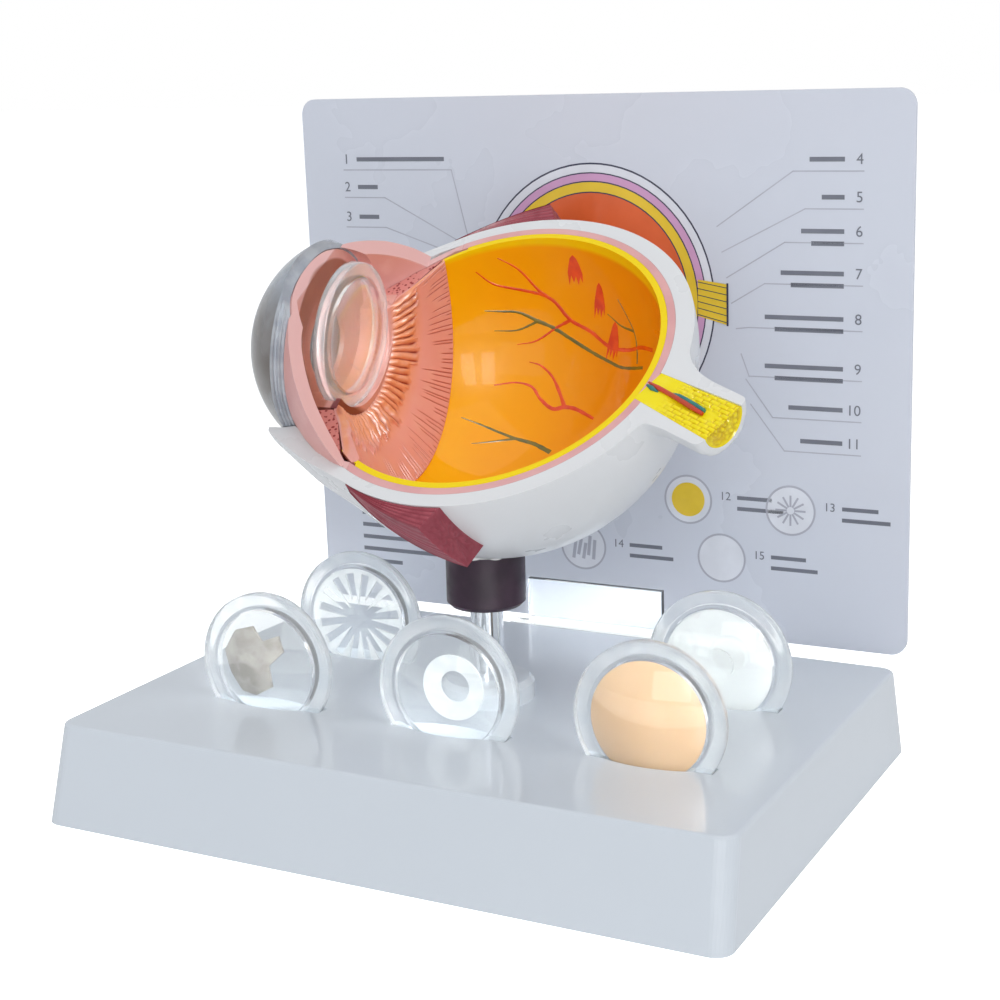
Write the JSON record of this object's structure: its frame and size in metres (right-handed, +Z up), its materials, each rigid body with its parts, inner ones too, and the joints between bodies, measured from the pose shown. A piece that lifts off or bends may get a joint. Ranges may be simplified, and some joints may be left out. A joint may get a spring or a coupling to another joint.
{
  "type": "eye anatomy model",
  "caption": "Desk model of an opened eyeball on a turning rod above a tray of spare lenses, with an information card in a clip behind it.",
  "frame": {"origin": "middle of the whole footprint, on the bench", "axes": "+X along the tray's width from the cornea's side to the nerve's side, +Y from the open front to the card, +Z up"},
  "size_m": [0.165, 0.1278, 0.1591],
  "materials": {
    "tray_white": "moulded, soft gloss",
    "collar_pale": "turned, soft gloss",
    "rod_steel": "polished",
    "fixing_steel": "zinc plated",
    "socket_dark": "brush painted, soft sheen",
    "sclera_white": "painted, soft sheen",
    "choroid_pink": "painted, soft sheen",
    "retina_yellow": "painted and varnished",
    "hood_pink": "painted, soft sheen",
    "iris_print": "printed",
    "clear_cap": "moulded clear",
    "seat_orange": "painted",
    "ciliary_orange": "painted",
    "clear_lens": "moulded clear",
    "nerve_yellow": "painted",
    "artery_red": "painted",
    "vein_blue": "painted",
    "muscle_crimson": "painted, striated",
    "flake_grey": "brushed patch",
    "film_white": "printed film",
    "nucleus_tan": "cast",
    "clip_clear": "bent clear sheet",
    "card_lavender": "laminated print"
  },
  "bodies": {
    "tray": {"base_tray": "tray_white", "stem_collar": "collar_pale", "card_clip": "clip_clear"},
    "rod": {"stem_rod": "rod_steel", "stem_washer": "fixing_steel", "stem_screw": "fixing_steel"},
    "eye": {"eye_socket": "socket_dark", "sclera_shell": "sclera_white", "nerve_sheath": "sclera_white", "choroid_layer": "choroid_pink", "retina_layer": "retina_yellow", "anterior_hood": "hood_pink", "iris_disc": "iris_print", "lens_seat_ring": "seat_orange", "ciliary_muscle": "hood_pink", "ciliary_body": "ciliary_orange", "optic_nerve": "nerve_yellow", "retinal_artery": "artery_red", "retinal_vein": "vein_blue", "lateral_rectus": "muscle_crimson", "medial_rectus": "muscle_crimson"},
    "cornea": {"cornea_cap": "clear_cap"},
    "eye_lens": {"eye_lens_front": "clear_lens", "eye_lens_back": "clear_lens"},
    "capsular_lens": {"capsular_lens_front": "clear_lens", "capsular_lens_back": "clear_lens", "capsular_flake": "flake_grey"},
    "cortical_lens": {"cortical_lens_front": "clear_lens", "cortical_lens_back": "clear_lens", "cortical_spokes": "film_white"},
    "subcapsular_lens": {"subcapsular_lens_front": "clear_lens", "subcapsular_lens_back": "clear_lens", "subcapsular_ring": "film_white"},
    "nuclear_lens": {"nuclear_lens_front": "clear_lens", "nuclear_lens_back": "clear_lens", "nuclear_core": "nucleus_tan"},
    "mature_lens": {"mature_lens_front": "clear_lens", "mature_lens_back": "clear_lens", "mature_haze": "film_white"},
    "card": {"info_card": "card_lavender"}
  },
  "joints": [
    {"name": "eye_turn", "type": "hinge", "parent": "tray", "child": "rod", "pos_m": [0, -0.00143, 0.03], "axis": [0, 0, 1], "range_deg": [-225, 60]},
    {"name": "eye_lift", "type": "slide", "parent": "rod", "child": "eye", "axis": [0, 0, 1], "range_m": [0, 0.016]},
    {"name": "cornea_pull", "type": "slide", "parent": "eye", "child": "cornea", "axis": [-0.9913, -0.0937, 0.0924], "range_m": [0, 0.012]},
    {"name": "eye_lens_pull", "type": "slide", "parent": "eye", "child": "eye_lens", "axis": [0.1298, -0.581, 0.8035], "range_m": [0, 0.018]},
    {"name": "capsular_lens_lift", "type": "slide", "parent": "tray", "child": "capsular_lens", "axis": [0, 0, 1], "range_m": [0, 0.012]},
    {"name": "cortical_lens_lift", "type": "slide", "parent": "tray", "child": "cortical_lens", "axis": [0, 0, 1], "range_m": [0, 0.012]},
    {"name": "subcapsular_lens_lift", "type": "slide", "parent": "tray", "child": "subcapsular_lens", "axis": [0, 0, 1], "range_m": [0, 0.012]},
    {"name": "nuclear_lens_lift", "type": "slide", "parent": "tray", "child": "nuclear_lens", "axis": [0, 0, 1], "range_m": [0, 0.012]},
    {"name": "mature_lens_lift", "type": "slide", "parent": "tray", "child": "mature_lens", "axis": [0, 0, 1], "range_m": [0, 0.012]},
    {"name": "card_lift", "type": "slide", "parent": "tray", "child": "card", "axis": [0.0005, -0.0244, 0.9997], "range_m": [0, 0.014]}
  ]
}
